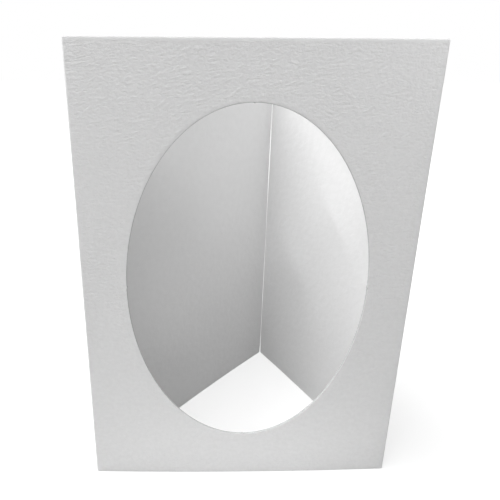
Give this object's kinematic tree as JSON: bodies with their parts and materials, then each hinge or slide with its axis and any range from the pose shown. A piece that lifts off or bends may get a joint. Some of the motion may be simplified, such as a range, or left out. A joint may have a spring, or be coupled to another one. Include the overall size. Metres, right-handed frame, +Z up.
{
  "type": "tri-fold photo folder",
  "caption": "Folded white card photo mount with an oval die-cut window panel, a cover panel and a backing flap, standing upright as an open three-sided tube.",
  "frame": {"origin": "on the table, below the middle of the folder's box", "axes": "+Z up the standing panels, -Y out of the window panel's front, +X to the right as the window is faced"},
  "size_m": [0.1266, 0.0992, 0.1778],
  "materials": {
    "white_card": "matte"
  },
  "bodies": {
    "root": {"folded_card": "white_card"}
  },
  "joints": []
}
